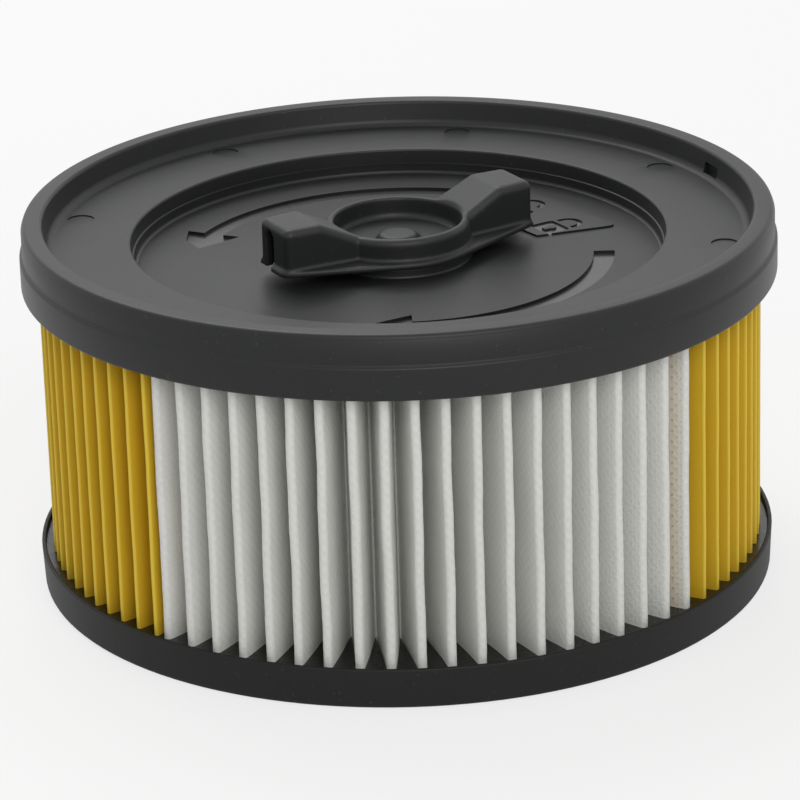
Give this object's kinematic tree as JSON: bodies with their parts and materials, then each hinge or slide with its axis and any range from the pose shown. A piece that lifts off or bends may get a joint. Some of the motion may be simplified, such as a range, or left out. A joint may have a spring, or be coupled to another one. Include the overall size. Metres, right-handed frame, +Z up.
{
  "type": "vacuum filter",
  "caption": "Pleated cartridge filter for a wet and dry vacuum cleaner: a black dished lid with a winged twist knob, white and yellow folds and a thin ring round the open base.",
  "frame": {"origin": "centre of the bottom face of the base ring, on the surface the filter stands on", "axes": "+Z up along the cartridge's axis, -Y towards the front with the white folds, +X to the right seen from there"},
  "size_m": [0.19, 0.19, 0.0968],
  "materials": {
    "lid": "fine satin texture, black",
    "knob": "satin, black",
    "fleece": "pressed white fleece with a fine raised pattern",
    "paper": "matt yellow filter paper",
    "cage": "plain, dark grey",
    "resin": "cast resin, glossy black",
    "base_ring": "matt black"
  },
  "bodies": {
    "cartridge": {"end_cap": "lid", "fleece_pleats": "fleece", "paper_pleats": "paper", "support_cage": "cage", "upper_potting": "resin", "lower_potting": "resin", "base_ring": "base_ring"},
    "knob": {"twist_knob": "knob"}
  },
  "joints": [
    {"name": "knob_turn", "type": "hinge", "parent": "cartridge", "child": "knob", "pos_m": [0, 0, 0.0844], "axis": [0, 0, 1], "range_deg": [0, 90]}
  ]
}
